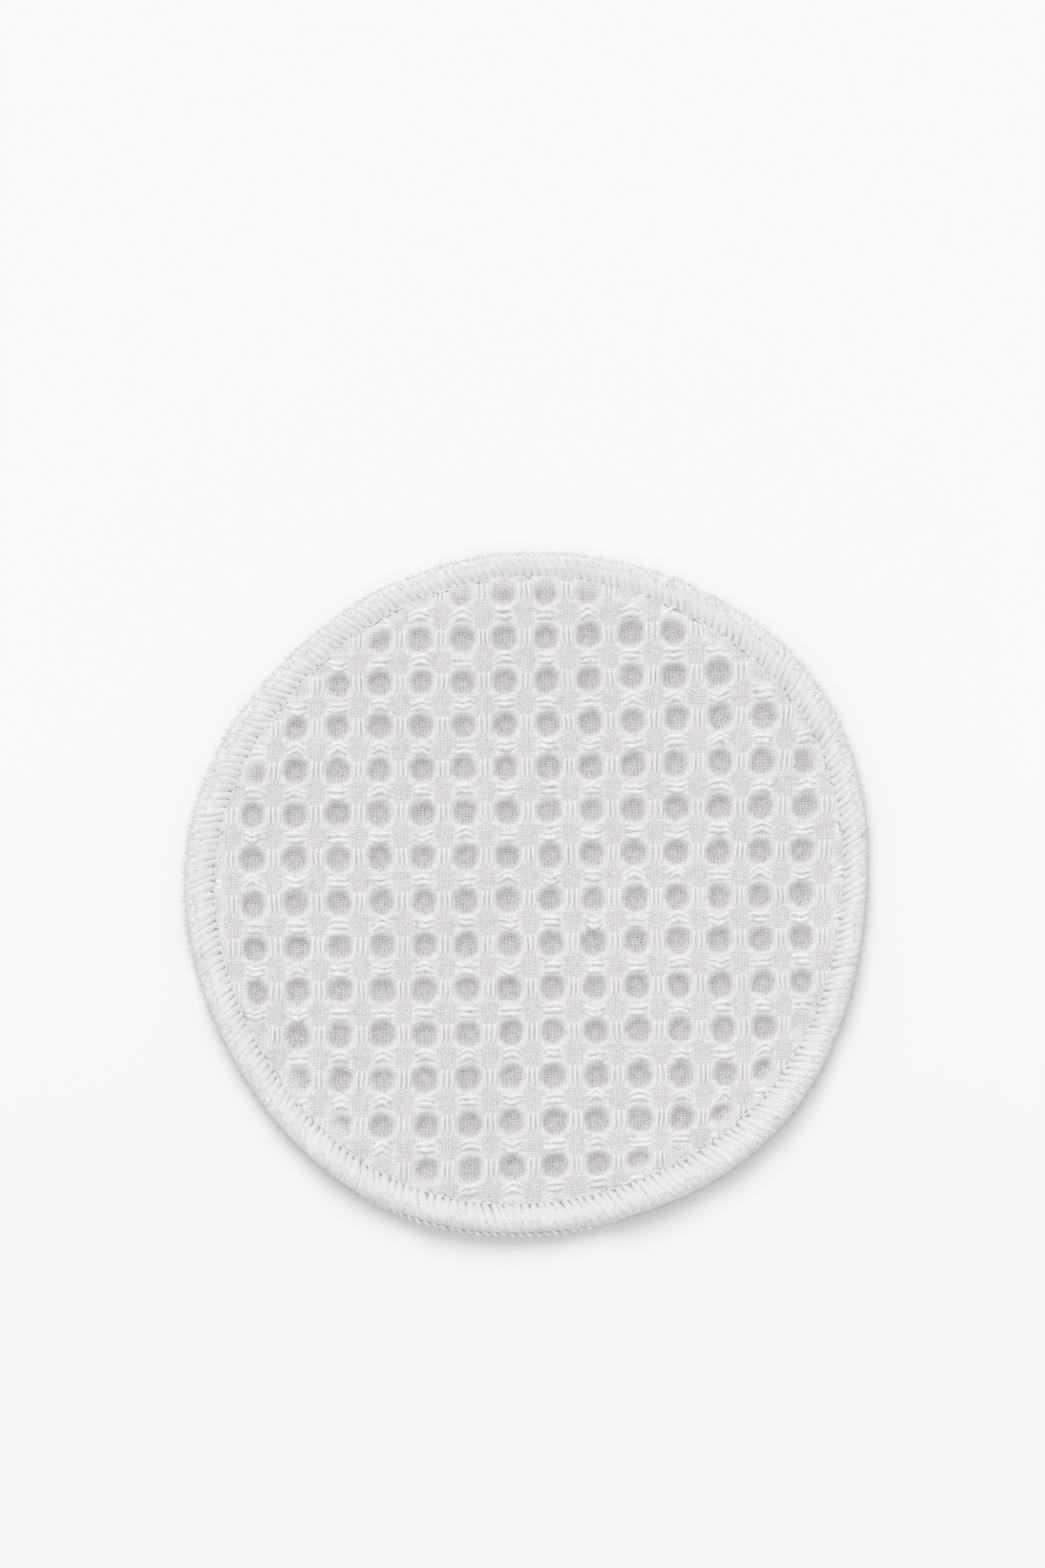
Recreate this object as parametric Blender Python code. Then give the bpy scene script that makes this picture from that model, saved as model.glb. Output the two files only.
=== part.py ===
"""Reusable round cotton pad: one disc of waffle-weave cloth with an overlocked edge.

Metres, +Z up. The pad lies flat, its underside at height 0 and its centre on the Z axis.
"""

import math

import bmesh
import bpy
from mathutils import Matrix

PAD_DIAMETER = 0.0800
CLOTH_THICKNESS = 0.0026
CELL_WIDTH = 0.0049
CELL_LENGTH = 0.00515
RIDGE_WIDTH = 0.0017
PIT_DEPTH = 0.0009
WALL_RUN = 0.0005
WEAVE_TURN = math.radians(1.0)
WEAVE_SHIFT_ACROSS = -0.0002
WEAVE_SHIFT_ALONG = -0.0013
HEM_THICKNESS = 0.0007
SHOULDER_RUN = 0.0005
STITCH_BITE = 0.0036
STITCH_LENGTH = 0.0018
STITCH_SLANT = math.radians(32.0)
EDGE_THICKNESS = 0.0026
EDGE_WALL = 0.0008
LOOPER_THREAD = 0.0006
NEEDLE_THREAD = 0.0004
NEEDLE_WAVE = 0.0002
CLEARANCE = 0.0003

PAD_RADIUS = PAD_DIAMETER / 2
MID_HEIGHT = max(CLOTH_THICKNESS, EDGE_THICKNESS) / 2
SEAM_RADIUS = PAD_RADIUS - STITCH_BITE
GROOVE_RADIUS = SEAM_RADIUS - NEEDLE_THREAD / 2 - CLEARANCE
LIP_RADIUS = SEAM_RADIUS + NEEDLE_THREAD / 2 + CLEARANCE
POCKET_RADIUS = PAD_RADIUS - EDGE_WALL
CLOTH_RADIUS = POCKET_RADIUS - CLEARANCE
POCKET_HALF = HEM_THICKNESS / 2 + CLEARANCE
STITCHES = round(2 * math.pi * SEAM_RADIUS / STITCH_LENGTH)

CREST_PLACE = 0.38
FLANK_SHARE = 0.33
CLOTH_SIDES = 72
POCKET_SIDES = 72
BLANK_RISE = 0.0004
MERGE = 0.000001

COTTON = (0.84, 0.825, 0.83, 1.0)
THREAD = (0.88, 0.87, 0.87, 1.0)


def clear_scene():
    for thing in list(bpy.data.objects):
        bpy.data.objects.remove(thing)


def new_collection(name):
    group = bpy.data.collections.new(name)
    bpy.context.scene.collection.children.link(group)
    return group


def new_material(name, colour, roughness):
    material = bpy.data.materials.new(name)
    material.use_nodes = True
    shader = material.node_tree.nodes["Principled BSDF"]
    shader.inputs["Base Color"].default_value = colour
    shader.inputs["Roughness"].default_value = roughness
    shader.inputs["Metallic"].default_value = 0.0
    return material


def mesh_object(name, bm, group, material=None):
    """Puts a finished bmesh into a new object, faces pointing out."""
    bmesh.ops.recalc_face_normals(bm, faces=bm.faces)
    mesh = bpy.data.meshes.new(name)
    bm.to_mesh(mesh)
    bm.free()
    if material:
        mesh.materials.append(material)
    thing = bpy.data.objects.new(name, mesh)
    group.objects.link(thing)
    return thing


def turn(bm, profile, steps):
    """Spins an open profile of (radius, height) points once round Z, and gives its vertices."""
    before = set(bm.verts)
    points = [bm.verts.new((radius, 0, height)) for radius, height in profile]
    lines = [bm.edges.new(pair) for pair in zip(points, points[1:])]
    bmesh.ops.spin(
        bm, geom=points + lines, axis=(0, 0, 1), cent=(0, 0, 0), angle=2 * math.pi, steps=steps
    )
    turned = [v for v in bm.verts if v not in before]
    bmesh.ops.remove_doubles(bm, verts=turned, dist=MERGE)
    return [v for v in turned if v.is_valid]


def weave_lines(cells, pitch, shift):
    """Where the edges of the ridges cross one axis, for a row of cells shifted off the middle."""
    start = shift - cells * pitch / 2 - RIDGE_WIDTH / 2
    return [
        start + cell * pitch + edge
        for cell in range(cells + 1)
        for edge in (0, RIDGE_WIDTH)
    ]


def weave_block(name, columns, rows, side, group):
    """A block whose outer face is one side of the waffle. Side is 1 for the top, -1 for below."""
    across = weave_lines(columns, CELL_WIDTH, WEAVE_SHIFT_ACROSS)
    along = weave_lines(rows, CELL_LENGTH, WEAVE_SHIFT_ALONG)
    bm = bmesh.new()
    bmesh.ops.create_grid(bm, x_segments=len(across) - 1, y_segments=len(along) - 1, size=1)
    crossing = {}
    for v in bm.verts:
        column = round((v.co.x + 1) / 2 * (len(across) - 1))
        row = round((v.co.y + 1) / 2 * (len(along) - 1))
        crossing[v] = (column, row)
        v.co = (across[column], along[row], CLOTH_THICKNESS / 2)
    pits = [
        f for f in bm.faces
        if min(crossing[v][0] for v in f.verts) % 2
        and min(crossing[v][1] for v in f.verts) % 2
        and f.calc_center_median().xy.length < GROOVE_RADIUS
    ]
    bmesh.ops.inset_individual(bm, faces=pits, thickness=WALL_RUN, depth=-PIT_DEPTH)
    rim = bmesh.ops.extrude_edge_only(bm, edges=[e for e in bm.edges if e.is_boundary])
    skirt = [v for v in rim["geom"] if isinstance(v, bmesh.types.BMVert)]
    bmesh.ops.translate(bm, verts=skirt, vec=(0, 0, -2 * CLOTH_THICKNESS))
    bmesh.ops.holes_fill(bm, edges=[e for e in bm.edges if e.is_boundary], sides=0)
    stance = (
        Matrix.Translation((0, 0, MID_HEIGHT))
        @ Matrix.Rotation(WEAVE_TURN, 4, "Z")
        @ Matrix.Diagonal((1, 1, side, 1))
    )
    bmesh.ops.transform(bm, matrix=stance, verts=bm.verts)
    block = mesh_object(name, bm, group)
    block.hide_render = True
    block.display_type = "WIRE"
    return block


def cloth_blank(group, material):
    """The disc before its hollows: full inside the seam, pressed thin where the stitches grip."""
    full, hem = CLOTH_THICKNESS / 2, HEM_THICKNESS / 2
    spare = (full + BLANK_RISE - hem) / (full - hem)
    upper = [
        (GROOVE_RADIUS - SHOULDER_RUN * spare, full + BLANK_RISE),
        (GROOVE_RADIUS, hem),
        (CLOTH_RADIUS, hem),
    ]
    outline = upper + [(radius, -height) for radius, height in reversed(upper)]
    bm = bmesh.new()
    turn(bm, [(radius, MID_HEIGHT + height) for radius, height in outline], CLOTH_SIDES)
    bmesh.ops.holes_fill(bm, edges=[e for e in bm.edges if e.is_boundary], sides=0)
    return mesh_object("waffle_cloth", bm, group, material)


def make_waffle_cloth(group, cutters):
    """The woven disc, its hollows on the two faces half a cell out of step."""
    cloth = cloth_blank(group, new_material("waffle_cotton", COTTON, 0.95))
    columns = 2 * math.ceil(PAD_RADIUS / CELL_WIDTH)
    rows = 2 * math.ceil(PAD_RADIUS / CELL_LENGTH)
    for block in (
        weave_block("upper_weave", columns, rows + 1, 1, cutters),
        weave_block("lower_weave", columns + 1, rows, -1, cutters),
    ):
        trim = cloth.modifiers.new(block.name, "BOOLEAN")
        trim.operation = "INTERSECT"
        trim.solver = "EXACT"
        trim.object = block
    return cloth


def band_outline():
    """The stitch band's outer face, from its upper lip over the edge to its lower lip."""
    half = EDGE_THICKNESS / 2
    upper = [
        (LIP_RADIUS, POCKET_HALF),
        (LIP_RADIUS + CREST_PLACE * (PAD_RADIUS - LIP_RADIUS), half),
        (PAD_RADIUS, half * FLANK_SHARE),
    ]
    return upper + [(radius, -height) for radius, height in reversed(upper)]


def lay_stitches(verts):
    """Leans the band's columns with the threads, and sinks every second one between them."""
    step = math.pi / STITCHES
    sink = LOOPER_THREAD / 2
    for v in verts:
        radius, height = v.co.xy.length, v.co.z - MID_HEIGHT
        column = round(math.atan2(v.co.y, v.co.x) / step)
        run = math.copysign(PAD_RADIUS - radius, -height) * math.tan(STITCH_SLANT)
        if column % 2 and radius > PAD_RADIUS - MERGE:
            radius -= sink
        elif column % 2 and radius > LIP_RADIUS + MERGE:
            height -= math.copysign(sink, height)
        angle = column * step + run / SEAM_RADIUS
        v.co = (radius * math.cos(angle), radius * math.sin(angle), MID_HEIGHT + height)


def make_overlock_edge(group):
    """The band of looper threads, wrapped over the cloth's edge from lip to lip."""
    bm = bmesh.new()
    lay_stitches(turn(bm, [(r, MID_HEIGHT + h) for r, h in band_outline()], 2 * STITCHES))
    pocket = [(POCKET_RADIUS, MID_HEIGHT + side * POCKET_HALF) for side in (-1, 1)]
    turn(bm, pocket, POCKET_SIDES)
    for side in (1, -1):
        lips = [
            e for e in bm.edges
            if e.is_boundary and all(side * (v.co.z - MID_HEIGHT) > 0 for v in e.verts)
        ]
        bmesh.ops.bridge_loops(bm, edges=lips)
    return mesh_object("overlock_edge", bm, group, new_material("looper_cotton", THREAD, 0.95))


def make_needle_thread(group):
    """The row of stitches along the seam, rising and dipping once each stitch."""
    low = MID_HEIGHT + POCKET_HALF + NEEDLE_THREAD / 2
    line = bpy.data.curves.new("needle_thread", "CURVE")
    line.dimensions = "3D"
    line.twist_mode = "Z_UP"
    line.bevel_depth = NEEDLE_THREAD / 2
    line.bevel_resolution = 0
    run = line.splines.new("POLY")
    run.points.add(2 * STITCHES - 1)
    for number, point in enumerate(run.points):
        angle = math.pi * (number + 0.5) / STITCHES
        height = low + NEEDLE_WAVE * (number % 2)
        point.co = (SEAM_RADIUS * math.cos(angle), SEAM_RADIUS * math.sin(angle), height, 1)
    run.use_cyclic_u = True
    line.materials.append(new_material("needle_cotton", THREAD, 0.9))
    thread = bpy.data.objects.new("needle_thread", line)
    group.objects.link(thread)
    return thread


def main():
    clear_scene()
    pad = new_collection("cotton_pad")
    cutters = new_collection("cutters")
    make_waffle_cloth(pad, cutters)
    make_overlock_edge(pad)
    make_needle_thread(pad)


main()
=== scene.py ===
import math

import bmesh
import bpy
import numpy as np
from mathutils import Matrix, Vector


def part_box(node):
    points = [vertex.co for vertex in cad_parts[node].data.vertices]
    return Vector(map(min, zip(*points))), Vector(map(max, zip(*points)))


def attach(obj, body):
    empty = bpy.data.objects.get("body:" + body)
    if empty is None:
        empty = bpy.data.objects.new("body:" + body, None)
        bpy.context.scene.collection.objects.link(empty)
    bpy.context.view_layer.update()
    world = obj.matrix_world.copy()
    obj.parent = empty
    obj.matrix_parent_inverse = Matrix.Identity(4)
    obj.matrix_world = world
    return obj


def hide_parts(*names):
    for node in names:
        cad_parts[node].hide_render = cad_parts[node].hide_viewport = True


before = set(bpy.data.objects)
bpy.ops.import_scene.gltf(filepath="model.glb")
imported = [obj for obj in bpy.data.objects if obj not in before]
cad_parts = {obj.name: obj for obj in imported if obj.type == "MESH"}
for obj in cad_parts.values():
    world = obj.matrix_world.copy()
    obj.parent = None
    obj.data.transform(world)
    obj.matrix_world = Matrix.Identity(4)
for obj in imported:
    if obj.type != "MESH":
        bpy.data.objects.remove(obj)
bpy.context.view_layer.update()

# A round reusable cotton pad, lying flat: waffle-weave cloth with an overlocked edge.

MM = 0.001
NOISE_CELLS = 97
JITTER_CELLS = 40

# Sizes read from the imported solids
EDGE_LOW, EDGE_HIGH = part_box("overlock_edge")
CLOTH_LOW, CLOTH_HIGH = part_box("waffle_cloth")
NEEDLE_LOW, NEEDLE_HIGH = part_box("needle_thread")
PAD_RADIUS = (EDGE_HIGH[0] - EDGE_LOW[0]) / 2
PAD_HEIGHT = CLOTH_HIGH[2] - CLOTH_LOW[2]
MID_HEIGHT = (EDGE_LOW[2] + EDGE_HIGH[2]) / 2
TOP_HEIGHT = MID_HEIGHT + PAD_HEIGHT / 2
CLOTH_RADIUS = (CLOTH_HIGH[0] - CLOTH_LOW[0]) / 2
CUT_RADIUS = CLOTH_RADIUS - 0.4 * MM
NEEDLE_THICK = 0.4 * MM
SEAM_RADIUS = (NEEDLE_HIGH[0] - NEEDLE_LOW[0]) / 2 - NEEDLE_THICK / 2

# The weave and the stitches, as in the solids
CELL_WIDTH = 4.9 * MM
CELL_LENGTH = 5.15 * MM
WEAVE_TURN = math.radians(1.0)
WEAVE_SHIFT = (-0.2 * MM, -1.3 * MM)
STITCHES = 127
STITCH_ANGLE = 2 * math.pi / STITCHES

# Depths under the crests of the floating yarns, and how far the ring round a pit rises again
GROUND_DROP = 0.20 * MM
WARP_BED_DROP = 0.26 * MM
WEFT_BED_DROP = 0.28 * MM
FLOOR_DROP = 1.18 * MM
RING_RISE = 0.09 * MM

# The pits: their size, how much each differs, how square they are and how ragged their rims
PIT_HALF_WIDTH = 1.66 * MM
PIT_HALF_LENGTH = 1.75 * MM
PIT_SIZE_JITTER, PIT_DEPTH_JITTER, PIT_PLACE_JITTER = 0.05, 0.08, 0.08 * MM
PIT_POWER = 2.2
RAGGED, RAGGED_SPAN = 0.09, 0.42 * MM

# Where a pit's wall and the ring round it begin and end, in shares of the pit's size, and how
# shallow a pit gets towards the seam
PIT_WALL = (1.12, 0.42)
RING_EDGE = (1.36, 1.10)
SEAM_FLOOR_SHARE, SEAM_FLOOR_REACH = 0.12, (0.2 * MM, 2.6 * MM)

# Where the beds under the floats fade out, across them and at their ends, in millimetres, and
# how far their outlines stray
WARP_BED_SIDE, WARP_BED_END = (1.05, 0.65), (1.40, 0.85)
WEFT_BED_SIDE, WEFT_BED_END = (1.00, 0.55), (1.70, 1.10)
STRAY, STRAY_SPAN = 0.22 * MM, 0.7 * MM

# How far the plain weave gives way to smooth yarn on the beds and on the rings
WARP_SMOOTH, WEFT_SMOOTH, RING_SMOOTH = 0.45, 0.8, 0.55

# The cloth's grid: half widths of a pit's mouth and foot, and the steps over its floor,
# over each of its walls and over the ridge
GRID_ACROSS = (1.75 * MM, 0.95 * MM)
GRID_ALONG = (1.85 * MM, 1.00 * MM)
UPPER_STEPS, LOWER_STEPS = (6, 5, 4), (3, 2, 2)

# The hem under the stitches: where the cloth gets thin, and half its thickness there
HEM_START, HEM_END = SEAM_RADIUS + 0.10 * MM, SEAM_RADIUS + 0.50 * MM
HEM_HALF = 0.4 * MM

# The floats: how far apart the upright ones lie, how far past the seam the last ones start,
# how deep the stitches press them, and the filling of the level ones
UPRIGHT_APART = 0.55 * MM
PAST_SEAM = 0.9 * MM
STITCH_PRESS = 0.6 * MM
FILLING_THICK, FILLING_DROP = 0.22 * MM, 0.07 * MM

# How the ends of the floats go down: how far, how suddenly, and to what share of their radius
UPRIGHT_END = (0.36 * MM, 4.5, 0.8)
LEVEL_END = (0.40 * MM, 2.4, 0.5)
FILLING_END = (0.38 * MM, 2.4, 0.5)

# The stitched edge's outline: how far it reaches in over the seam, stays inside the pad's edge,
# lies under the cloth's crests and dips at the seam; which share of it is flat on each face;
# where its outer side starts; and how round that is
SEAM_TUCK, EDGE_INSET, BAND_DROP, SEAM_DIP = 0.12 * MM, 0.20 * MM, 0.10 * MM, 0.35 * MM
FLAT_SHARE, OUTER_SHARE = 0.30, 0.48
EDGE_ROUND = 0.95
OUTLINE_LENGTH = 7 * MM
POCKET_INSET, POCKET_SLACK = 0.1 * MM, 0.05 * MM

# The bundles of looper thread: how far they lean from the seam to the edge and stray from their
# own lines, in stitches and bundles, and their relief in millimetres
STITCH_LEAN = 0.95
BUNDLE_STRAY = 0.28
CROWN, SEAM_GAP, DENT = 0.17, 0.19, 0.20

# How far the plies of a bundle fan out at the seam, and how much farther at the edge
SEAM_FAN, EDGE_FAN = 0.135, 0.12

# The needle's stitches: half their length in stitches, how deep their middles and ends lie under
# the cloth's crests, and their radius
STITCH_HALF = 0.46
NEEDLE_SUNK, NEEDLE_DIP = 0.44 * MM, 0.24 * MM
NEEDLE_RADIUS = 0.12 * MM

# The chain shows along this part of the edge, and is sunk in the band elsewhere
BARE_ANGLE, BARE_SPAN = -math.pi / 2 - 0.12, 0.45
CHAIN_RADIUS = 0.20 * MM

# The soft pad's own outline: waves round it as (count, cosine, sine) in millimetres
OUTLINE_WAVES = ((2, -0.10, 0.48), (3, -0.31, 0.31), (4, -0.23, -0.05), (5, -0.30, 0.16))
BITE_WAVES = ((1, 0.0, -0.21), (2, 0.05, -0.20), (3, -0.20, 0.05), (4, -0.15, 0.01))
BITE_INSET, BITE_REACH = 0.6 * MM, 2.6 * MM

# How the cloth lifts off the floor, and how its face is pulled down at the seam
CLOTH_WAVE, CLOTH_WAVE_SPAN, EDGE_WAVE = 0.22 * MM, 17 * MM, 0.12 * MM
SEAM_PULL = 0.22 * MM
PULL_START, PULL_END = SEAM_RADIUS - 1.5 * MM, SEAM_RADIUS - 0.1 * MM

# Fibres stay between these heights, and this leaning line never runs along one
FIBRE_LOW, FIBRE_HIGH = 0.04 * MM, MID_HEIGHT * 2 + 0.45 * MM
FIBRE_UP = (0.13, 0.21, 0.97)
EDGE_FIBRE_RADIUS, FACE_FIBRE_RADIUS = 0.011 * MM, 0.012 * MM

COTTON = (0.842, 0.808, 0.820)
THREAD = (0.872, 0.851, 0.860)

# The yarns of the plain weave: their spacing, how much closer they lie each way, and how far
# they wander
YARN_SPACING = 0.30 * MM
YARN_SHARES = (0.76, 1.14, 1.0)
YARN_WANDER = 0.6

# How high the bump of each finish is, and how strong
WEAVE_BUMP = (0.08 * MM, 0.8)
BAND_BUMP = (0.12 * MM, 0.7)
YARN_BUMP = (0.035 * MM, 0.8)


def smooth(low, high, x):
    """0 at low, 1 at high, eased between; low may be the larger."""
    t = np.clip((x - low) / (high - low), 0, 1)
    return t * t * (3 - 2 * t)


def lattice_noise(x, y, size, seed):
    """Soft noise from -1 to 1 over a plane, with bumps about size across."""
    table = np.random.RandomState(seed).uniform(-1, 1, (NOISE_CELLS, NOISE_CELLS))
    u, v = x / size, y / size
    i, j = np.floor(u).astype(int), np.floor(v).astype(int)
    s, t = u - i, v - j
    s, t = s * s * (3 - 2 * s), t * t * (3 - 2 * t)
    i, next_i = i % NOISE_CELLS, (i + 1) % NOISE_CELLS
    j, next_j = j % NOISE_CELLS, (j + 1) % NOISE_CELLS
    near = table[i, j] * (1 - s) + table[next_i, j] * s
    far = table[i, next_j] * (1 - s) + table[next_i, next_j] * s
    return near * (1 - t) + far * t


def round_waves(angle, waves):
    """A sum of waves round the pad, in metres."""
    return MM * sum(c * np.cos(n * angle) + s * np.sin(n * angle) for n, c, s in waves)


def round_noise(angle, seed, counts=(5, 8, 13, 21, 34)):
    """Noise from about -1 to 1 round the pad."""
    rng = np.random.RandomState(seed)
    turns = [(n, rng.normal(0, 0.5), rng.normal(0, 0.5)) for n in counts]
    return round_waves(angle, turns) / MM


def settle(points):
    """Gives the finished pad its soft outline and the slight waves of cloth that lies flat."""
    x, y, z = points[..., 0], points[..., 1], points[..., 2]
    radius, angle = np.hypot(x, y), np.arctan2(y, x)
    share = radius / PAD_RADIUS
    shift = round_waves(angle, OUTLINE_WAVES) * share ** 3
    near_seam = np.exp(-(((radius - SEAM_RADIUS + BITE_INSET) / BITE_REACH) ** 2))
    shift = shift - round_waves(angle, BITE_WAVES) * near_seam
    scale = 1 + shift / np.maximum(radius, MM)
    lift = CLOTH_WAVE * (1 + lattice_noise(x, y, CLOTH_WAVE_SPAN, 4)) * smooth(0.0, 1.0, share)
    lift = lift + EDGE_WAVE * (1 + round_noise(angle, 6)) * share ** 6
    return np.stack([x * scale, y * scale, np.maximum(z + lift, 0)], -1)


def to_pad(u, v):
    """From the weave's own axes to the pad's."""
    u, v = u + WEAVE_SHIFT[0], v + WEAVE_SHIFT[1]
    c, s = math.cos(WEAVE_TURN), math.sin(WEAVE_TURN)
    return u * c - v * s, u * s + v * c


def edge_drop(radius):
    """How far the cloth's face is pulled down towards the seam."""
    return SEAM_PULL * smooth(PULL_START, PULL_END, radius)


def round_points(radius, angle, height):
    """Points from their radius, angle and height."""
    x, y = radius * np.cos(angle), radius * np.sin(angle)
    return np.stack(np.broadcast_arrays(x, y, height), -1)


def relief(u, v, half_u, half_v, seed):
    """Depth of one face under its crests at points in the weave's axes, and a mask of its ridges.

    half_u and half_v say where in the grid this face has its pits, in cells.
    """
    i = np.floor(u / CELL_WIDTH - half_u + 0.5).astype(int)
    j = np.floor(v / CELL_LENGTH - half_v + 0.5).astype(int)
    a = u - (i + half_u) * CELL_WIDTH
    b = v - (j + half_v) * CELL_LENGTH
    draws = np.random.RandomState(seed).uniform(-1, 1, (5, JITTER_CELLS, JITTER_CELLS))
    wider, longer, aside, ahead, deeper = draws[:, i % JITTER_CELLS, j % JITTER_CELLS]
    wide = PIT_HALF_WIDTH * (1 + PIT_SIZE_JITTER * wider)
    long = PIT_HALF_LENGTH * (1 + PIT_SIZE_JITTER * longer)
    off_a, off_b = a - PIT_PLACE_JITTER * aside, b - PIT_PLACE_JITTER * ahead
    reach = np.abs(off_a / wide) ** PIT_POWER + np.abs(off_b / long) ** PIT_POWER
    reach = reach ** (1 / PIT_POWER) + RAGGED * lattice_noise(u, v, RAGGED_SPAN, seed + 3)
    pit = smooth(*PIT_WALL, reach)
    from_seam = SEAM_RADIUS - np.hypot(*to_pad(u, v))
    full = SEAM_FLOOR_SHARE + (1 - SEAM_FLOOR_SHARE) * smooth(*SEAM_FLOOR_REACH, from_seam)
    floor = FLOOR_DROP * (1 + PIT_DEPTH_JITTER * deeper) * full
    stray = STRAY * lattice_noise(u, v, STRAY_SPAN, seed + 7)
    to_side, to_end = CELL_WIDTH / 2 - np.abs(a) + stray, CELL_LENGTH / 2 - np.abs(b) + stray
    warp_bed = smooth(*WARP_BED_SIDE, to_side / MM)
    warp_bed = warp_bed * smooth(*WARP_BED_END, (np.abs(b) + stray) / MM)
    weft_bed = smooth(*WEFT_BED_SIDE, to_end / MM)
    weft_bed = weft_bed * smooth(*WEFT_BED_END, (np.abs(a) - stray) / MM)
    ring = smooth(*RING_EDGE, reach + 0.10 * stray / STRAY)
    ridge = GROUND_DROP - RING_RISE * ring
    ridge = ridge * (1 - warp_bed) + WARP_BED_DROP * warp_bed
    ridge = ridge * (1 - weft_bed) + WEFT_BED_DROP * weft_bed
    crest = np.maximum(WARP_SMOOTH * warp_bed, WEFT_SMOOTH * weft_bed)
    crest = np.maximum(crest, RING_SMOOTH * ring) * (1 - pit)
    return ridge * (1 - pit) + floor * pit, crest


def mesh_piece(name, verts, faces, material):
    """A smooth mesh of the flat pad's points, settled into the soft pad's shape."""
    mesh = bpy.data.meshes.new(name)
    mesh.from_pydata(settle(np.asarray(verts, float)), [], faces)
    mesh.polygons.foreach_set("use_smooth", [True] * len(mesh.polygons))
    mesh.materials.append(material)
    mesh.update()
    piece = bpy.data.objects.new(name, mesh)
    bpy.context.scene.collection.objects.link(piece)
    return piece


def lay_uv(piece, name, across, up):
    """Stores two numbers of each vertex as a UV layer."""
    corner = np.empty(len(piece.data.loops), np.int32)
    piece.data.loops.foreach_get("vertex_index", corner)
    layer = piece.data.uv_layers.new(name=name)
    layer.data.foreach_set("uv", np.stack([across[corner], up[corner]], 1).ravel())


def tubes(name, paths, radii, up, material, sides=6):
    """Closed round yarns, one along each path. up points away from what each yarn lies on."""
    paths, radii, up = (np.asarray(x, float) for x in (paths, radii, up))
    count, points = paths.shape[:2]
    run = np.gradient(paths, axis=1)
    run /= np.linalg.norm(run, axis=2, keepdims=True)
    side = np.cross(run, up)
    side /= np.linalg.norm(side, axis=2, keepdims=True)
    over = np.cross(side, run)
    here = np.arange(sides)
    turn = here * 2 * math.pi / sides
    ring = (
        side[:, :, None] * np.cos(turn)[None, None, :, None]
        + over[:, :, None] * np.sin(turn)[None, None, :, None]
    )
    verts = (paths[:, :, None] + ring * radii[:, :, None, None]).reshape(-1, 3)
    start = (np.arange(count) * points * sides)[:, None]
    base = start[:, :, None] + (np.arange(points - 1) * sides)[None, :, None]
    then = (here + 1) % sides
    quads = np.stack([base + here, base + then, base + sides + then, base + sides + here], -1)
    faces = quads.reshape(-1, 4).tolist()
    faces += (start + here[::-1]).tolist() + (start + (points - 1) * sides + here).tolist()
    piece = mesh_piece(name, verts, faces, material)
    steps = np.linalg.norm(np.diff(paths, axis=1), axis=2)
    length = np.concatenate([np.zeros((count, 1)), np.cumsum(steps, axis=1)], axis=1)
    length = np.repeat(length.reshape(-1), sides)
    lay_uv(piece, "yarn", length / MM, np.tile(here / sides, count * points))
    return piece


def group(name, inputs, outputs):
    """A shader node group with named sockets, and its in and out nodes."""
    tree = bpy.data.node_groups.new(name, "ShaderNodeTree")
    for label, kind, value in inputs:
        socket = tree.interface.new_socket(label, in_out="INPUT", socket_type=kind)
        if value is not None:
            socket.default_value = value
    for label, kind in outputs:
        tree.interface.new_socket(label, in_out="OUTPUT", socket_type=kind)
    return tree, tree.nodes.new("NodeGroupInput"), tree.nodes.new("NodeGroupOutput")


def feed(tree, socket, value):
    if isinstance(value, bpy.types.NodeSocket):
        tree.links.new(value, socket)
    else:
        socket.default_value = value


def math_node(tree, operation, *values):
    node = tree.nodes.new("ShaderNodeMath")
    node.operation = operation
    for socket, value in zip(node.inputs, values):
        feed(tree, socket, value)
    return node.outputs[0]


def vector_node(tree, operation, *values, scale=None):
    node = tree.nodes.new("ShaderNodeVectorMath")
    node.operation = operation
    for socket, value in zip(node.inputs, values):
        feed(tree, socket, value)
    if scale is not None:
        feed(tree, node.inputs["Scale"], scale)
    return node.outputs[0]


def noise_node(tree, vector, scale, detail=2.0, roughness=0.5):
    node = tree.nodes.new("ShaderNodeTexNoise")
    feed(tree, node.inputs["Vector"], vector)
    feed(tree, node.inputs["Scale"], scale)
    node.inputs["Detail"].default_value = detail
    node.inputs["Roughness"].default_value = roughness
    return node


def range_node(tree, value, from_low, from_high, to_low, to_high):
    node = tree.nodes.new("ShaderNodeMapRange")
    node.interpolation_type = "SMOOTHSTEP"
    for socket, number in zip(node.inputs, (value, from_low, from_high, to_low, to_high)):
        feed(tree, socket, number)
    return node.outputs[0]


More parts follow.
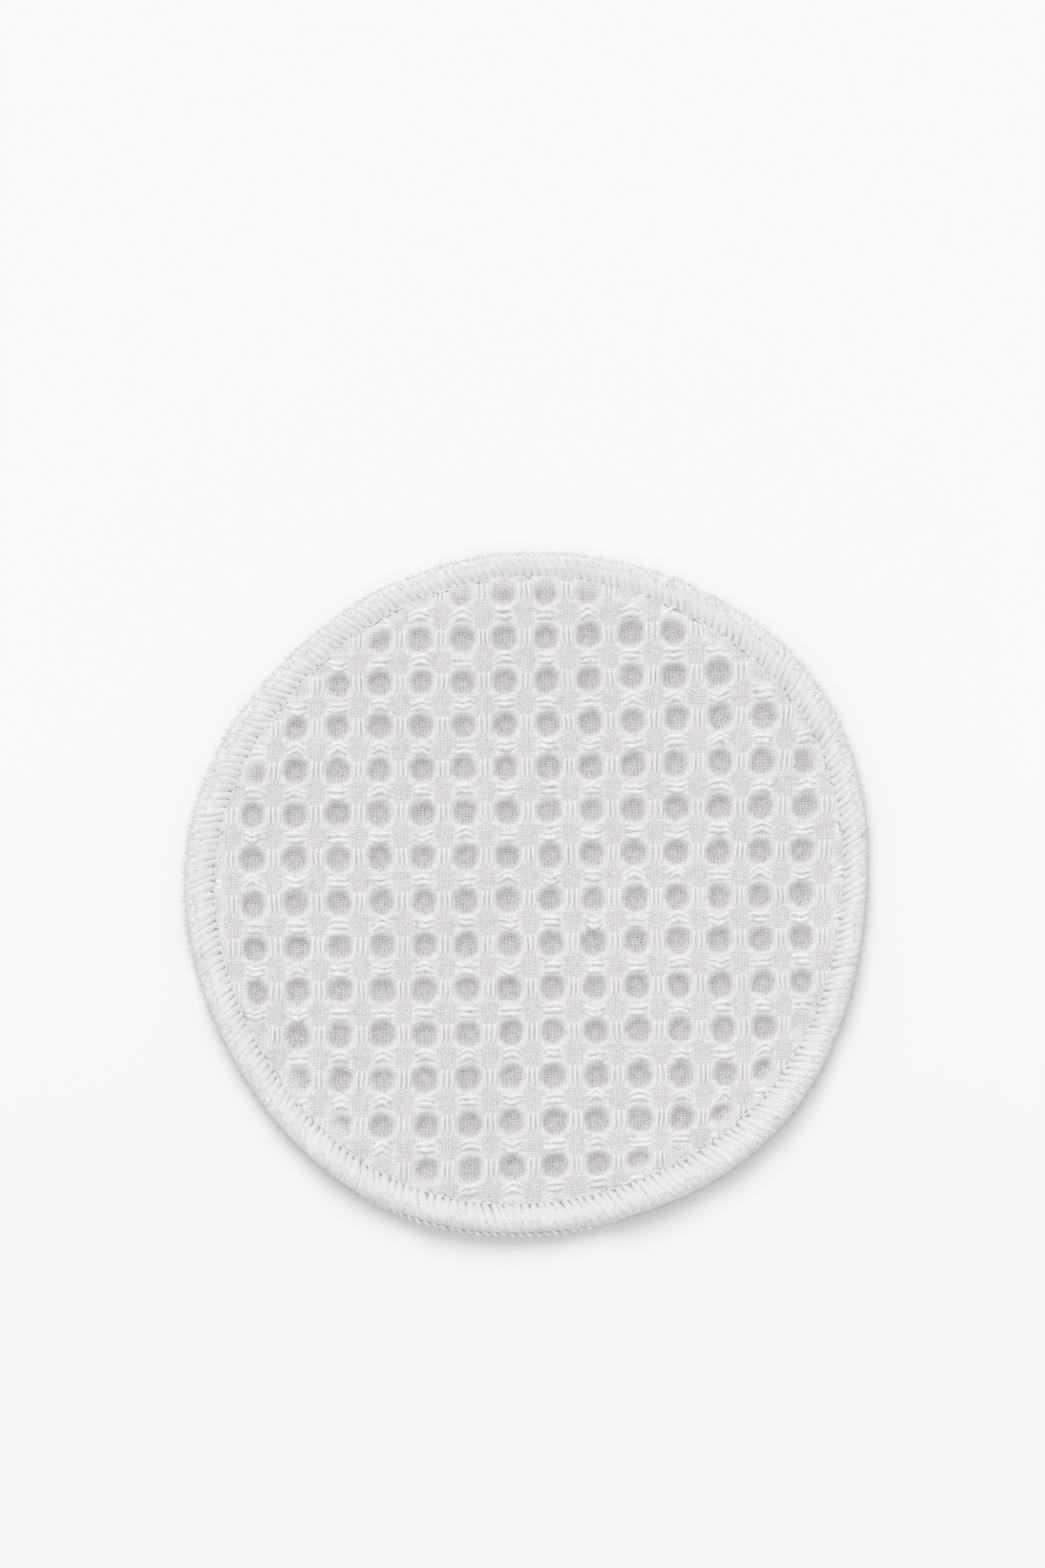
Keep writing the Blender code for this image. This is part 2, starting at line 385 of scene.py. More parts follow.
def make_plain_weave():
    """Over-and-under yarns: their height, and a mask of the gaps between them."""
    tree, given, result = group(
        "plain_weave",
        [
            ("Position", "NodeSocketVector", None),
            ("Spacing", "NodeSocketFloat", YARN_SPACING),
            ("Turn", "NodeSocketFloat", WEAVE_TURN),
            ("Wander", "NodeSocketFloat", YARN_WANDER),
        ],
        [("Height", "NodeSocketFloat"), ("Gap", "NodeSocketFloat")],
    )
    per = math_node(tree, "DIVIDE", 1.0, given.outputs["Spacing"])
    rotate = tree.nodes.new("ShaderNodeVectorRotate")
    rotate.rotation_type = "Z_AXIS"
    feed(tree, rotate.inputs["Vector"], given.outputs["Position"])
    feed(tree, rotate.inputs["Angle"], math_node(tree, "MULTIPLY", given.outputs["Turn"], -1.0))
    dashes = vector_node(tree, "MULTIPLY", rotate.outputs[0], YARN_SHARES)
    scaled = vector_node(tree, "SCALE", dashes, scale=per)
    drift = noise_node(tree, scaled, 0.25, 3.0, 0.7).outputs["Color"]
    drift = vector_node(tree, "SUBTRACT", drift, (0.5, 0.5, 0.5))
    reach = math_node(tree, "MULTIPLY", given.outputs["Wander"], 4.0)
    drift = vector_node(tree, "SCALE", drift, scale=reach)
    apart = tree.nodes.new("ShaderNodeSeparateXYZ")
    feed(tree, apart.inputs[0], vector_node(tree, "ADD", scaled, drift))
    places = apart.outputs[0], apart.outputs[1]
    floors = [math_node(tree, "FLOOR", w) for w in places]
    odd = math_node(tree, "ABSOLUTE", math_node(tree, "MODULO", math_node(tree, "ADD", *floors), 2.0))
    warp, weft = [
        math_node(tree, "SINE", math_node(tree, "MULTIPLY", math_node(tree, "FRACT", w), math.pi))
        for w in places
    ]
    over = [
        math_node(tree, "MULTIPLY", top, math_node(tree, "MULTIPLY_ADD", low, 0.45, 0.55))
        for top, low in ((warp, weft), (weft, warp))
    ]
    mix = tree.nodes.new("ShaderNodeMix")
    feed(tree, mix.inputs[0], odd)
    feed(tree, mix.inputs[2], over[0])
    feed(tree, mix.inputs[3], over[1])
    gap = math_node(
        tree, "MULTIPLY",
        math_node(tree, "SUBTRACT", 1.0, warp), math_node(tree, "SUBTRACT", 1.0, weft),
    )
    feed(tree, result.inputs["Height"], mix.outputs[0])
    feed(tree, result.inputs["Gap"], math_node(tree, "POWER", gap, 0.7))
    return tree


def make_cotton_tone():
    """Patches a little warmer, cooler and darker, as undyed white cotton has."""
    tree, given, result = group(
        "cotton_tone",
        [
            ("Position", "NodeSocketVector", None),
            ("Color", "NodeSocketColor", (*COTTON, 1)),
            ("Shade", "NodeSocketFloat", 0.0),
        ],
        [("Color", "NodeSocketColor")],
    )
    broad = noise_node(tree, given.outputs["Position"], 90.0, 2.0).outputs["Fac"]
    fine = noise_node(tree, given.outputs["Position"], 2600.0, 3.0, 0.7).outputs["Color"]
    speckle, darkest = (0.20, 0.17, 0.19), (0.90, 0.915, 0.905)
    tint = vector_node(tree, "MULTIPLY_ADD", fine, speckle, darkest)
    toned = vector_node(tree, "MULTIPLY", given.outputs["Color"], tint)
    level = math_node(tree, "MULTIPLY_ADD", broad, 0.06, 0.97)
    level = math_node(
        tree, "MULTIPLY", level, math_node(tree, "SUBTRACT", 1.0, given.outputs["Shade"])
    )
    feed(tree, result.inputs["Color"], vector_node(tree, "SCALE", toned, scale=level))
    return tree


def make_yarn():
    """Twisted fibres along a thread: their height and the shade between the plies."""
    tree, given, result = group(
        "yarn",
        [
            ("Along", "NodeSocketVector", None),
            ("Position", "NodeSocketVector", None),
            ("Twist", "NodeSocketFloat", 2.2),
        ],
        [("Height", "NodeSocketFloat"), ("Shade", "NodeSocketFloat")],
    )
    apart = tree.nodes.new("ShaderNodeSeparateXYZ")
    feed(tree, apart.inputs[0], given.outputs["Along"])
    turns = math_node(tree, "MULTIPLY", apart.outputs[0], given.outputs["Twist"])
    spiral = math_node(tree, "ADD", turns, math_node(tree, "MULTIPLY", apart.outputs[1], 2.0))
    ply = math_node(tree, "PINGPONG", spiral, 0.5)
    drawn = vector_node(tree, "MULTIPLY", given.outputs["Along"], (1.6, 9.0, 0.0))
    where = vector_node(tree, "SCALE", given.outputs["Position"], scale=2500.0)
    fibres = noise_node(tree, vector_node(tree, "ADD", drawn, where), 1.0, 3.0, 0.6).outputs["Fac"]
    height = math_node(tree, "MULTIPLY_ADD", ply, 0.4, math_node(tree, "MULTIPLY", fibres, 2.0))
    feed(tree, result.inputs["Height"], height)
    shade = math_node(tree, "SUBTRACT", 0.62, math_node(tree, "MULTIPLY_ADD", ply, 0.3, fibres))
    feed(tree, result.inputs["Shade"], math_node(tree, "MULTIPLY", shade, 0.10))
    return tree


def new_material(name, roughness, sheen):
    """A matt cotton material, its nodes, its shader and the place on the object."""
    material = bpy.data.materials.new(name)
    material.use_nodes = True
    shader = material.node_tree.nodes["Principled BSDF"]
    shader.inputs["Roughness"].default_value = roughness
    shader.inputs["Specular IOR Level"].default_value = 0.2
    shader.inputs["Sheen Weight"].default_value = sheen
    shader.inputs["Sheen Roughness"].default_value = 0.6
    place = material.node_tree.nodes.new("ShaderNodeTexCoord").outputs["Object"]
    return material, material.node_tree, shader, place


def use_group(tree, kind):
    node = tree.nodes.new("ShaderNodeGroup")
    node.node_tree = kind
    return node


def bump(tree, shader, height, distance, strength):
    node = tree.nodes.new("ShaderNodeBump")
    node.inputs["Distance"].default_value = distance
    node.inputs["Strength"].default_value = strength
    feed(tree, node.inputs["Height"], height)
    feed(tree, shader.inputs["Normal"], node.outputs[0])


def stored_pair(tree, name):
    """The two numbers that lay_uv stored under a name."""
    stored = tree.nodes.new("ShaderNodeUVMap")
    stored.uv_map = name
    apart = tree.nodes.new("ShaderNodeSeparateXYZ")
    feed(tree, apart.inputs[0], stored.outputs[0])
    return apart.outputs[0], apart.outputs[1]


def colour_cotton(tree, shader, tone, place, colour, shade):
    """Gives the shader a cotton colour, toned over the surface and darkened by shade."""
    toned = use_group(tree, tone)
    feed(tree, toned.inputs["Position"], place)
    feed(tree, toned.inputs["Color"], colour)
    feed(tree, toned.inputs["Shade"], shade)
    feed(tree, shader.inputs["Base Color"], toned.outputs[0])


def waffle_material(weave, tone):
    """Plain-woven ground, with painted shade in the pits, most at their floors, and painted shade
    between its yarns, stronger in the pits.
    """
    material, tree, shader, place = new_material("waffle_cotton", 0.95, 0.10)
    woven = use_group(tree, weave)
    feed(tree, woven.inputs["Position"], place)
    depth, crest = stored_pair(tree, "depth")
    mouth, floor = 0.30, 1.00
    plain = math_node(tree, "SUBTRACT", 1.0, crest)
    # Painted shade in the pits: none at the mouth, the most at the floor
    deep = range_node(tree, depth, mouth, floor, 0.0, 0.10)
    # Painted shade between the yarns of the plain weave, in patches, stronger in the pits and none on
    # the smooth crests
    patchy = noise_node(tree, place, 1600.0, 2.0, 0.7).outputs["Fac"]
    patchy = range_node(tree, patchy, 0.35, 0.65, 0.14, 0.54)
    pit_gap_shade = range_node(tree, depth, mouth, floor, 0.85, 1.30)
    gaps = math_node(tree, "MULTIPLY", woven.outputs["Gap"], plain)
    for share in (patchy, pit_gap_shade):
        gaps = math_node(tree, "MULTIPLY", gaps, share)
    mix = tree.nodes.new("ShaderNodeMix")
    mix.data_type = "RGBA"
    feed(tree, mix.inputs["Factor"], plain)
    mix.inputs[6].default_value = (*THREAD, 1)
    mix.inputs[7].default_value = (*COTTON, 1)
    # All the painted shade, taken off the cotton colour
    shade = math_node(tree, "ADD", deep, gaps)
    colour_cotton(tree, shader, tone, place, mix.outputs[2], shade)
    height = math_node(tree, "MULTIPLY", woven.outputs["Height"], plain)
    bump(tree, shader, height, *WEAVE_BUMP)
    return material


def band_material(tone):
    """The body of the looper threads, with painted shade towards the seam, where it lies between the
    bundles.
    """
    material, tree, shader, place = new_material("looper_body", 0.95, 0.15)
    from_seam = stored_pair(tree, "stitch")[1]
    # Painted shade on the body next to the seam, fading out towards the edge
    inner = range_node(tree, from_seam, 0.04, 0.26, 0.07, 0.0)
    colour_cotton(tree, shader, tone, place, (*THREAD, 1), inner)
    fibres = noise_node(tree, place, 5000.0, 3.0, 0.6).outputs["Fac"]
    bump(tree, shader, fibres, *BAND_BUMP)
    return material


def thread_material(name, yarn, tone, twist, roughness):
    """Soft twisted cotton thread."""
    material, tree, shader, place = new_material(name, roughness, 0.15)
    along = tree.nodes.new("ShaderNodeUVMap")
    along.uv_map = "yarn"
    spun = use_group(tree, yarn)
    feed(tree, spun.inputs["Along"], along.outputs[0])
    feed(tree, spun.inputs["Position"], place)
    spun.inputs["Twist"].default_value = twist
    colour_cotton(tree, shader, tone, place, (*THREAD, 1), spun.outputs["Shade"])
    bump(tree, shader, spun.outputs["Height"], *YARN_BUMP)
    return material


def cell_lines(cell, half, steps, mouth, foot):
    """Where the cloth's grid lines lie along one axis: close together over the pits' walls."""
    steps_floor, steps_wall, steps_ridge = steps
    lines = []
    count = math.ceil(CLOTH_RADIUS / cell) + 2
    for k in range(-count, count + 1):
        middle = (k + half) * cell
        parts = [
            np.linspace(middle - mouth, middle - foot, steps_wall, endpoint=False),
            np.linspace(middle - foot, middle + foot, steps_floor, endpoint=False),
            np.linspace(middle + foot, middle + mouth, steps_wall, endpoint=False),
            np.linspace(middle + mouth, middle + cell - mouth, steps_ridge, endpoint=False),
        ]
        lines.append(np.concatenate(parts))
    return np.concatenate(lines)


def face_grid(face, steps):
    """One face of the cloth as a trimmed grid: its points, depths, ridge mask and quads."""
    half_u, half_v, seed = (0.5, 0.0, 11) if face > 0 else (0.0, 0.5, 12)
    u = cell_lines(CELL_WIDTH, half_u, steps, *GRID_ACROSS)
    v = cell_lines(CELL_LENGTH, half_v, steps, *GRID_ALONG)
    uu, vv = np.meshgrid(u, v, indexing="ij")
    middle = to_pad((uu[1:, 1:] + uu[:-1, :-1]) / 2, (vv[1:, 1:] + vv[:-1, :-1]) / 2)
    inside = np.hypot(*middle) < CLOTH_RADIUS - 0.6 * MM
    number = np.arange(uu.size).reshape(uu.shape)
    corners = [number[:-1, :-1], number[1:, :-1], number[1:, 1:], number[:-1, 1:]]
    corners = np.stack(corners, -1)[inside]
    used, flat = np.unique(corners, return_inverse=True)
    corners = flat.reshape(corners.shape)
    uu, vv = uu.ravel()[used], vv.ravel()[used]
    drop, crest = relief(uu, vv, half_u, half_v, seed)
    x, y = to_pad(uu, vv)
    edges = np.concatenate([corners[:, [k, (k + 1) % 4]] for k in range(4)]).tolist()
    keys = {tuple(e) for e in edges}
    rim = np.unique([e for e in keys if (e[1], e[0]) not in keys])
    scale = CUT_RADIUS / np.hypot(x[rim], y[rim])
    x[rim], y[rim] = x[rim] * scale, y[rim] * scale
    radius = np.hypot(x, y)
    hem = smooth(HEM_START, HEM_END, radius)
    depth = drop + edge_drop(radius) + 0.02 * MM * lattice_noise(x, y, 0.5 * MM, seed + 5)
    half = (PAD_HEIGHT / 2 - depth) * (1 - hem) + HEM_HALF * hem
    points = np.stack([x, y, MID_HEIGHT + face * half], 1)
    if face < 0:
        corners = corners[:, ::-1]
    return points, drop, crest, corners


def make_cloth(material):
    """The woven disc: a fine mesh with the waffle relief in both faces."""
    upper, upper_drop, upper_crest, upper_quads = face_grid(1, UPPER_STEPS)
    lower, lower_drop, lower_crest, lower_quads = face_grid(-1, LOWER_STEPS)
    quads = upper_quads.tolist() + (lower_quads + len(upper)).tolist()
    piece = mesh_piece("waffle_cloth_woven", np.concatenate([upper, lower]), quads, material)
    bm = bmesh.new()
    bm.from_mesh(piece.data)
    edge = bmesh.ops.bridge_loops(bm, edges=[e for e in bm.edges if e.is_boundary])
    for face in edge["faces"]:
        face.smooth = True
    bm.to_mesh(piece.data)
    bm.free()
    drops = np.concatenate([upper_drop, lower_drop]) / MM
    lay_uv(piece, "depth", drops, np.concatenate([upper_crest, lower_crest]))
    return piece


def float_places(half_u, half_v, reach):
    """Cell centres within reach of the middle, shifted by parts of a cell."""
    most = math.ceil(reach / CELL_WIDTH) + 1
    cells = range(-most, most + 1)
    for i in cells:
        for j in cells:
            u, v = (i + half_u) * CELL_WIDTH, (j + half_v) * CELL_LENGTH
            if math.hypot(*to_pad(u, v)) < reach:
                yield u, v


def make_floats(name, face, material, points=11, sides=8):
    """The yarns that float over the ridges: upright ones in threes, level ones in soft pairs.

    On the upper face a thinner yarn lies between the two of each pair and softens their line.
    """
    rng = np.random.RandomState(31 if face > 0 else 32)
    shift = (0.5, 0.0) if face > 0 else (0.0, 0.5)
    t = np.linspace(-1, 1, points)
    paths, radii = [], []

    def jitter(most):
        return rng.uniform(-most, most) * MM

    def lay(u, v, thick, crest, fall, steep, tip):
        x, y = to_pad(u, v)
        radius = np.hypot(x, y)
        pressed = STITCH_PRESS * smooth(SEAM_RADIUS - 0.3 * MM, SEAM_RADIUS + 0.3 * MM, radius)
        end = np.abs(t) ** steep
        height = PAD_HEIGHT / 2 - edge_drop(radius) - pressed - thick - crest - fall * end
        paths.append(np.stack([x, y, MID_HEIGHT + face * height], 1))
        radii.append(thick * (1 - (1 - tip) * end))

    reach = SEAM_RADIUS + PAST_SEAM
    for u, v in float_places(shift[0] + 0.5, shift[1], reach):
        splay = jitter(0.06)
        half = rng.uniform(1.25, 1.45) * MM
        for k in (-1, 0, 1):
            bow = k * rng.uniform(-0.10, 0.04) * MM
            lean = jitter(0.05)
            lane = k * UPRIGHT_APART + jitter(0.03)
            middle = u + lane - bow * (1 - t * t) + (splay + lean) * t
            middle = middle + 0.03 * MM * np.cos(t * 4 + rng.uniform(0, 6))
            thick, crest = rng.uniform(0.175, 0.205) * MM, rng.uniform(-0.07, 0.0) * MM
            lay(middle, v + t * half * rng.uniform(0.93, 1.0), thick, crest, *UPRIGHT_END)
    for u, v in float_places(shift[0], shift[1] + 0.5, reach):
        bow = rng.choice([-1, 1]) * rng.uniform(0.08, 0.42) * MM
        kink = jitter(0.22)
        tilt = jitter(0.12)
        half = rng.uniform(1.50, 1.75) * MM
        rise = bow * np.cos(t * 2.4) + tilt * t + kink * np.cos(t * 5.5)
        if face > 0:
            lay(u + t * half, v + rise, FILLING_THICK, FILLING_DROP, *FILLING_END)
        for k in (-1, 1):
            twist = jitter(0.08)
            lane = k * rng.uniform(0.30, 0.36) * MM + twist * np.cos(t * 2.2)
            phase = rng.uniform(-0.5, 0.5)
            sway = 0.07 * MM * np.cos(t * rng.uniform(1.8, 4.0) + phase)
            thick, crest = rng.uniform(0.31, 0.36) * MM, (0.02 * math.sin(phase) - 0.08) * MM
            lay(u + t * half, v + lane + rise + sway, thick, crest, *LEVEL_END)
    paths = np.array(paths)
    up = np.zeros_like(paths)
    up[:, :, 2] = face
    return tubes(name, paths, radii, up, material, sides=sides)


def section(t, puff=0.0):
    """The stitched edge's outline. t runs from the upper seam (0) over the edge to the lower (1).

    Gives the radius and the height over the middle plane.
    """
    inner, outer = SEAM_RADIUS - SEAM_TUCK, PAD_RADIUS - EDGE_INSET
    half = PAD_HEIGHT / 2 - BAND_DROP
    core = outer - half * EDGE_ROUND
    near = np.minimum(t, 1 - t)
    sign = np.where(t < 0.5, 1.0, -1.0)
    on_flat = near < FLAT_SHARE
    along = np.clip(near / FLAT_SHARE, 0, 1)
    bend = np.clip((near - FLAT_SHARE) / (0.5 - FLAT_SHARE), 0, 1) * math.pi / 2
    radius = np.where(
        on_flat, inner + (core - inner) * along, core + (half * EDGE_ROUND + puff) * np.sin(bend)
    )
    crest = half - SEAM_DIP * smooth(0.85, 0.0, along)
    height = np.where(on_flat, crest + puff, (half + puff) * np.cos(bend))
    return radius, sign * height


def wobble(place, s):
    """How far a bundle of thread, numbered by place, strays from its own line.

    The straying fades out where the numbers start again.
    """
    bundles = 2 * STITCHES
    turned = place % bundles
    ends = smooth(0, 2, turned) * smooth(bundles, bundles - 2, turned)
    return BUNDLE_STRAY * ends * lattice_noise(place, 2.2 * s, 1.0, 29)


def bundle_shape(angle, s):
    """Height of the stitched surface at an angle, s of the way from the seam to the outer edge.

    Two bundles of looper thread lie side by side in each stitch. They lean, stand apart at the
    seam and close up outwards.
    """
    place = 2 * (angle / STITCH_ANGLE - STITCH_LEAN * s) + 0.5
    place = place + wobble(place, s)
    off = np.abs(place - np.round(place))
    crown = CROWN * (1 - (2 * off) ** 2) * smooth(1.2, 0.6, s)
    spread = 0.18 * smooth(0.50, 0.0, s) + 0.04
    uneven = round_noise(angle, 61, (17, 29, 43, 61))
    loose = (0.78 - 0.22 * np.cos(angle - 2.2)) * (1 + 0.35 * uneven)
    gap = SEAM_GAP * loose * smooth(0.70, 0.05, s) * smooth(spread, 0.0, 0.5 - off)
    tier = 0.5 + 0.5 * round_noise(angle, 23)
    dent = DENT * np.clip(tier, 0, 1) * smooth(0.20, 0.0, off)
    dent = dent * smooth(0.17, 0.0, np.abs(s - 0.60))
    return (crown - gap - dent) * MM


def make_band(material, columns_each=14, rows=29):
    """The dense body of the looper threads, with their bundles in its surface."""
    columns = STITCHES * columns_each
    angle = np.arange(columns) * 2 * math.pi / columns
    t = np.linspace(0, 1, rows)
    aa, tt = np.meshgrid(angle, t, indexing="ij")
    near = np.minimum(tt, 1 - tt)
    puff = bundle_shape(aa, near / OUTER_SHARE) - 0.10 * MM
    rough = lattice_noise(aa * PAD_RADIUS, tt * OUTLINE_LENGTH, 0.30 * MM, 41)
    puff = puff + 0.025 * MM * rough
    radius, height = section(tt, puff)
    outer = round_points(radius, aa, MID_HEIGHT + height)
    pocket_half = HEM_HALF + POCKET_SLACK
    pocket = [
        round_points(CLOTH_RADIUS - POCKET_INSET, angle, MID_HEIGHT + rise * pocket_half)
        for rise in (-1, 1)
    ]
    loop = np.concatenate([outer, np.stack(pocket, 1)], 1)
    total = loop.shape[1]
    c, r = np.meshgrid(np.arange(columns), np.arange(total), indexing="ij")
    c2, r2 = (c + 1) % columns, (r + 1) % total
    quads = np.stack([c * total + r, c * total + r2, c2 * total + r2, c2 * total + r], -1)
    piece = mesh_piece("looper_band", loop.reshape(-1, 3), quads.reshape(-1, 4).tolist(), material)
    down = np.concatenate([np.minimum(t, 1 - t), [0.5, 0.5]])
    lay_uv(piece, "stitch", np.repeat(angle / STITCH_ANGLE, total), np.tile(down, columns))
    return piece


def make_strands(name, face, material, plies=5, points=8, sides=4):
    """Single plies of the looper threads, half sunk in the bundles, fanned out to the edge."""
    rng = np.random.RandomState(51 if face > 0 else 52)
    paths, radii, ups = [], [], []
    s = np.linspace(0, 1, points)
    for bundle in range(2 * STITCHES):
        body = rng.uniform(0.85, 1.1)
        stray = wobble(np.full(points, float(bundle)), s)
        for ply in range(plies):
            across = (ply + 0.5) / plies * 2 - 1
            fan = across * (SEAM_FAN + EDGE_FAN * smooth(0.0, 0.40, s)) * body
            wave = rng.uniform(-0.04, 0.04) * np.sin(s * rng.uniform(3, 8) + ply) * s
            angle = ((bundle - stray) / 2 - 0.25 + STITCH_LEAN * s + fan + wave) * STITCH_ANGLE
            t = s * rng.uniform(0.43, 0.52)
            lift = bundle_shape(angle, s) + rng.uniform(-0.28, -0.20) * MM
            radius, height = section(t, lift)
            paths.append(round_points(radius, angle, MID_HEIGHT + face * height))
            out = smooth(0.28, 0.5, np.minimum(t, 0.5)) * 0.98
            ups.append(round_points(out, angle, face * (1 - out)))
            radii.append(rng.uniform(0.12, 0.16) * MM * (0.8 + 0.3 * np.sin(s * math.pi)))
    return tubes(name, paths, radii, ups, material, sides=sides)


def make_chain(material, points_each=16):
    """The looper threads' chain along the outer edge, two small loops to a stitch."""
    total = STITCHES * points_each
    k = np.arange(total + 1) / points_each
    angle = k * STITCH_ANGLE
    away = np.angle(np.exp(1j * (angle - BARE_ANGLE)))
    bare = np.exp(-((away / BARE_SPAN) ** 4))
    rng = np.random.RandomState(9)
    size = rng.uniform(0.5, 1.2, 2 * STITCHES + 1)[np.minimum((2 * k).astype(int), 2 * STITCHES)]
    scallop = np.abs(np.sin(2 * math.pi * k))
    radius = PAD_RADIUS + (-0.80 + 0.45 * bare + (0.05 + 0.32 * bare * size) * scallop) * MM
    z = MID_HEIGHT + (0.10 + 0.25 * bare * np.sin(4 * math.pi * k)) * MM
    thick = np.full(total + 1, CHAIN_RADIUS)
    out = round_points(1.0, angle, 0.35)
    return tubes("edge_chain", [round_points(radius, angle, z)], [thick], [out], material)


def make_needle_stitches(material, points=9):
    """One short stitch between each pair of needle holes along the seam."""
    rng = np.random.RandomState(71)
    paths, radii = [], []
    s = np.linspace(-1, 1, points)
    for stitch in range(STITCHES):
        angle = (stitch + 0.5 + s * STITCH_HALF) * STITCH_ANGLE
        dip = np.abs(s) ** 5
        z = TOP_HEIGHT - (NEEDLE_SUNK + NEEDLE_DIP * dip)
        radius = SEAM_RADIUS + rng.uniform(-0.08, 0.08) * MM + rng.uniform(-0.08, 0.08) * MM * s
        paths.append(round_points(radius, angle, z))
        radii.append(NEEDLE_RADIUS * (1 - 0.3 * dip))
    up = np.zeros((STITCHES, points, 3))
    up[:, :, 2] = 1
    return tubes("needle_stitches", paths, radii, up, material)


def grow_fibres(name, start, normal, length, stray, thick, rng, material, points=3):
    """Fine loose fibres from start, roughly along normal, each curling its own way."""
    count = len(start)
    s = np.linspace(0, 1, points)
    heading = normal + rng.normal(0, stray, (count, 3))
    heading /= np.linalg.norm(heading, axis=1, keepdims=True)
    curl = rng.normal(0, 0.45, (count, 3))
    grown = heading[:, None] * s[None, :, None] + curl[:, None] * (s ** 2)[None, :, None]
    paths = start[:, None] + grown * length[:, None, None]
    paths[:, :, 2] = np.clip(paths[:, :, 2], FIBRE_LOW, FIBRE_HIGH)
    radii = np.repeat(((1 - 0.45 * s) * thick)[None], count, 0)
    up = np.tile(np.array(FIBRE_UP), (count, points, 1))
    return tubes(name, paths, radii, up, material, sides=3)


def make_edge_fuzz(material, count=11000):
    """Short fibres that stand off the stitched edge."""
    rng = np.random.RandomState(91)
    angle = rng.uniform(0, 2 * math.pi, count)
    t = rng.uniform(0.26, 0.60, count)
    radius, height = section(t)
    start = round_points(radius, angle, MID_HEIGHT + height)
    out = smooth(0.2, 0.5, np.minimum(t, 1 - t))[:, None]
    outward = round_points(1.0, angle, 0.0)
    along = np.stack([-np.sin(angle), np.cos(angle), 0 * angle], 1)
    normal = outward * (0.5 + out) + np.array([0, 0, 0.35]) * (1 - out) + 0.3 * along
    length = rng.uniform(0.15, 0.60, count) * MM
    return grow_fibres("edge_fuzz", start, normal, length, 0.5, EDGE_FIBRE_RADIUS, rng, material)


def make_face_fuzz(material, each=34):
    """Fine fibres over the level floats of the upper face, which make them look soft."""
    rng = np.random.RandomState(92)
    places = list(float_places(0.5, 0.5, SEAM_RADIUS - 0.5 * MM))
    u = np.repeat([p[0] for p in places], each) + rng.uniform(-1.3, 1.3, len(places) * each) * MM
    v = np.repeat([p[1] for p in places], each) + rng.normal(0, 0.42, len(places) * each) * MM
    x, y = to_pad(u, v)
    z = TOP_HEIGHT - 0.06 * MM - edge_drop(np.hypot(x, y))
    start = np.stack([x, y, z], 1)
    side = rng.choice([-1.0, 1.0], len(x))
    normal = np.stack([side * 0.9, rng.normal(0, 0.3, len(x)), rng.uniform(0.0, 0.25, len(x))], 1)
    length = rng.uniform(0.4, 1.1, len(x)) * MM
    return grow_fibres("face_fuzz", start, normal, length, 0.15, FACE_FIBRE_RADIUS, rng, material)


def make_floor():
    """A pale floor that keeps the pad's shadow, with painted shade that makes it a little less white
    on its near side.
    """
    bpy.ops.mesh.primitive_plane_add(size=6, location=(0, 0, -0.02 * MM))
    floor = bpy.context.object
    floor.name = "floor"
    material = bpy.data.materials.new("floor_white")
    material.use_nodes = True
    shader = material.node_tree.nodes["Principled BSDF"]
    shader.inputs["Roughness"].default_value = 1.0
    shader.inputs["Specular IOR Level"].default_value = 0.0
    tree = material.node_tree
    place = tree.nodes.new("ShaderNodeTexCoord").outputs["Object"]
    apart = tree.nodes.new("ShaderNodeSeparateXYZ")
    feed(tree, apart.inputs[0], place)
    # Painted shade: the floor's colour darkens from its far side to its near side
    near_side, far_side = -60 * MM, 20 * MM
    level = range_node(tree, apart.outputs[1], near_side, far_side, 0.925, 0.955)
    white = (1.0, 0.998, 1.003)
    tint = vector_node(tree, "SCALE", white, scale=level)
    feed(tree, shader.inputs["Base Color"], tint)
    floor.data.materials.append(material)


def make_light():
    """Even studio light with a broad soft key from beyond the pad's top edge."""
    world = bpy.data.worlds.new("studio")
    bpy.context.scene.world = world
    world.use_nodes = True
    back = world.node_tree.nodes["Background"]
    back.inputs["Color"].default_value = (1.0, 1.0, 1.0, 1)
    back.inputs["Strength"].default_value = 0.765
    lamp = bpy.data.lights.new("key", "SUN")
    lamp.angle = math.radians(38)
    lamp.energy = 0.98
    key = bpy.data.objects.new("key", lamp)
    toward = Vector((-0.22, 0.88, 1.12))
    key.rotation_euler = toward.to_track_quat("Z", "Y").to_euler()
    bpy.context.scene.collection.objects.link(key)


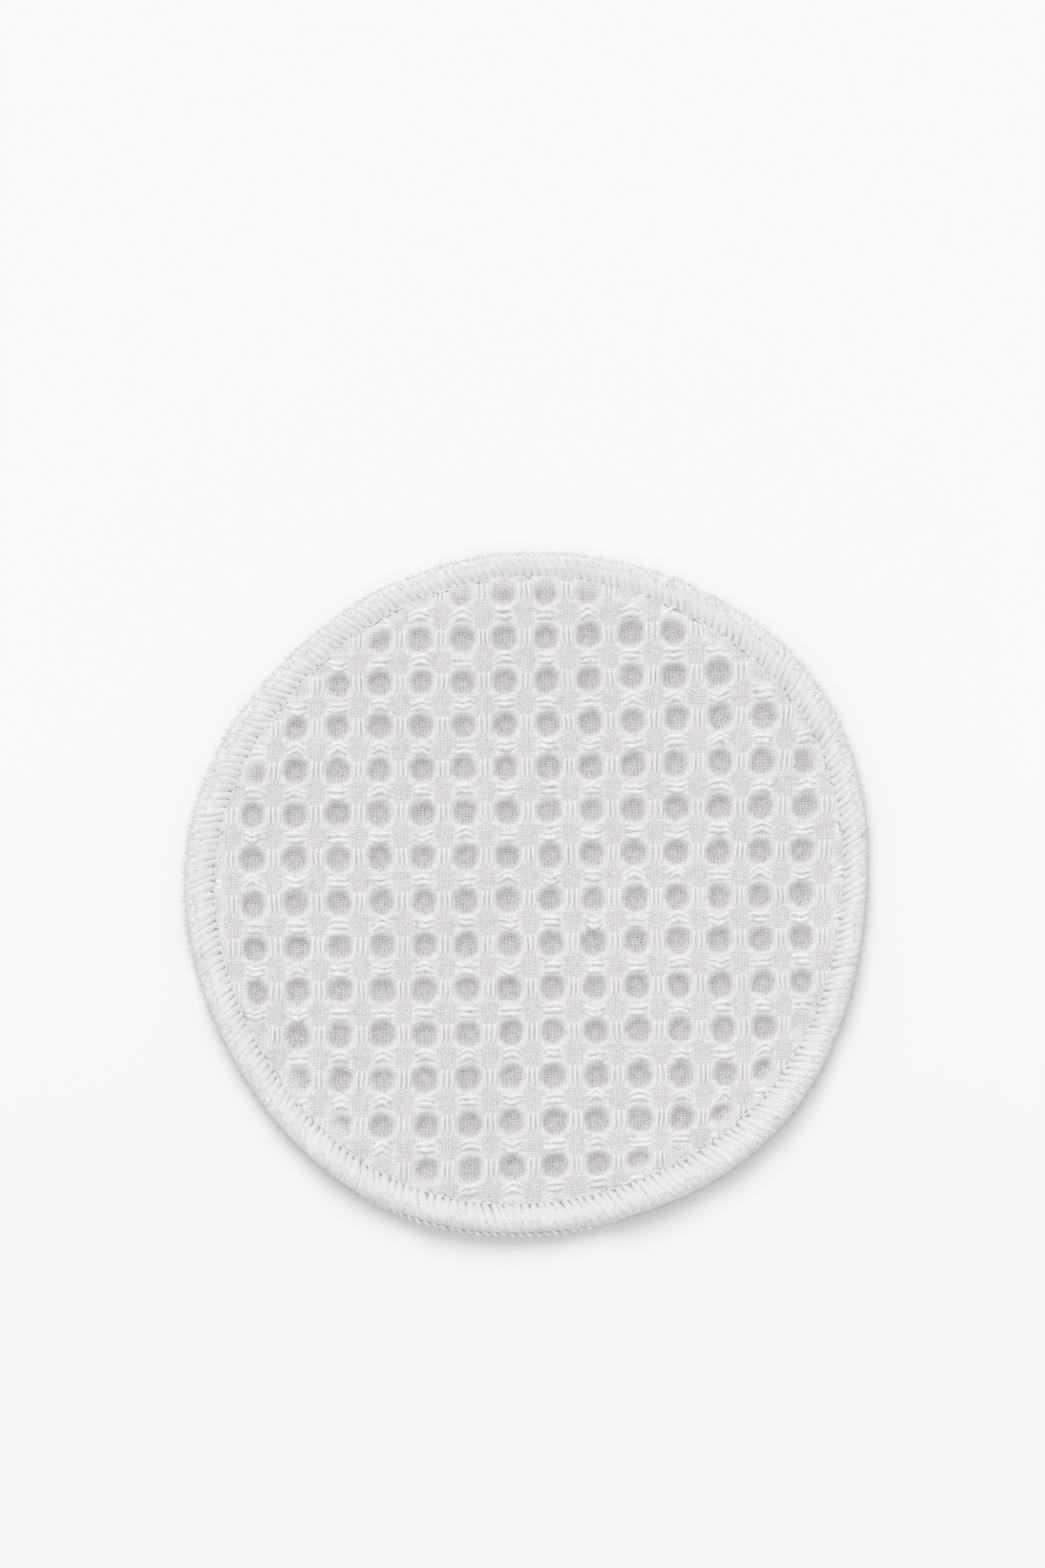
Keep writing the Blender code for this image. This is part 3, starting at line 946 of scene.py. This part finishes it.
def make_camera():
    """Looks down on the face from a little towards its lower edge, as the photograph does."""
    frame_wide, frame_high = 1568, 2352
    pad_wide_px, pad_x_px, pad_y_px = 1036, 797, 1335
    lens, sensor, elevation = 110.0, 36.0, math.radians(82)
    shown_high = 2 * PAD_RADIUS * frame_high / pad_wide_px
    distance = shown_high * lens / sensor
    camera = bpy.data.cameras.new("camera")
    camera.lens = lens
    camera.sensor_width = sensor
    camera.clip_start, camera.clip_end = 0.01, 20
    camera.shift_x = (frame_wide / 2 - pad_x_px) / frame_high
    camera.shift_y = (pad_y_px - frame_high / 2) / frame_high
    eye = bpy.data.objects.new("camera", camera)
    target = Vector((0, 0, MID_HEIGHT))
    back = Vector((0, -math.cos(elevation), math.sin(elevation)))
    eye.location = target + back * distance
    eye.rotation_euler = back.to_track_quat("Z", "Y").to_euler()
    bpy.context.scene.collection.objects.link(eye)
    bpy.context.scene.camera = eye


def main():
    bpy.context.scene.view_settings.view_transform = "Standard"
    weave, tone, yarn = make_plain_weave(), make_cotton_tone(), make_yarn()
    cloth_look = waffle_material(weave, tone)
    band_look = band_material(tone)
    float_look = thread_material("float_yarn", yarn, tone, 1.4, 0.95)
    looper_look = thread_material("looper_cotton", yarn, tone, 1.8, 0.95)
    needle_look = thread_material("needle_cotton", yarn, tone, 3.0, 0.85)

    cloth = make_cloth(cloth_look)
    band = make_band(band_look)
    needle = make_needle_stitches(needle_look)
    woven = [
        make_floats("upper_floats", 1, float_look),
        make_floats("lower_floats", -1, float_look, points=7, sides=4),
        make_face_fuzz(float_look),
    ]
    stitched = [
        make_strands("upper_strands", 1, looper_look),
        make_strands("lower_strands", -1, looper_look, plies=3, points=7),
        make_chain(looper_look),
        make_edge_fuzz(looper_look),
    ]
    for piece, slot in (
        [(cloth, "waffle_cotton"), (band, "looper_cotton"), (needle, "needle_cotton")]
        + [(piece, "waffle_cotton") for piece in woven]
        + [(piece, "looper_cotton") for piece in stitched]
    ):
        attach(piece, "root")
    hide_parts("waffle_cloth")
    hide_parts("overlock_edge")
    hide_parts("needle_thread")
    make_floor()
    make_light()
    make_camera()


main()
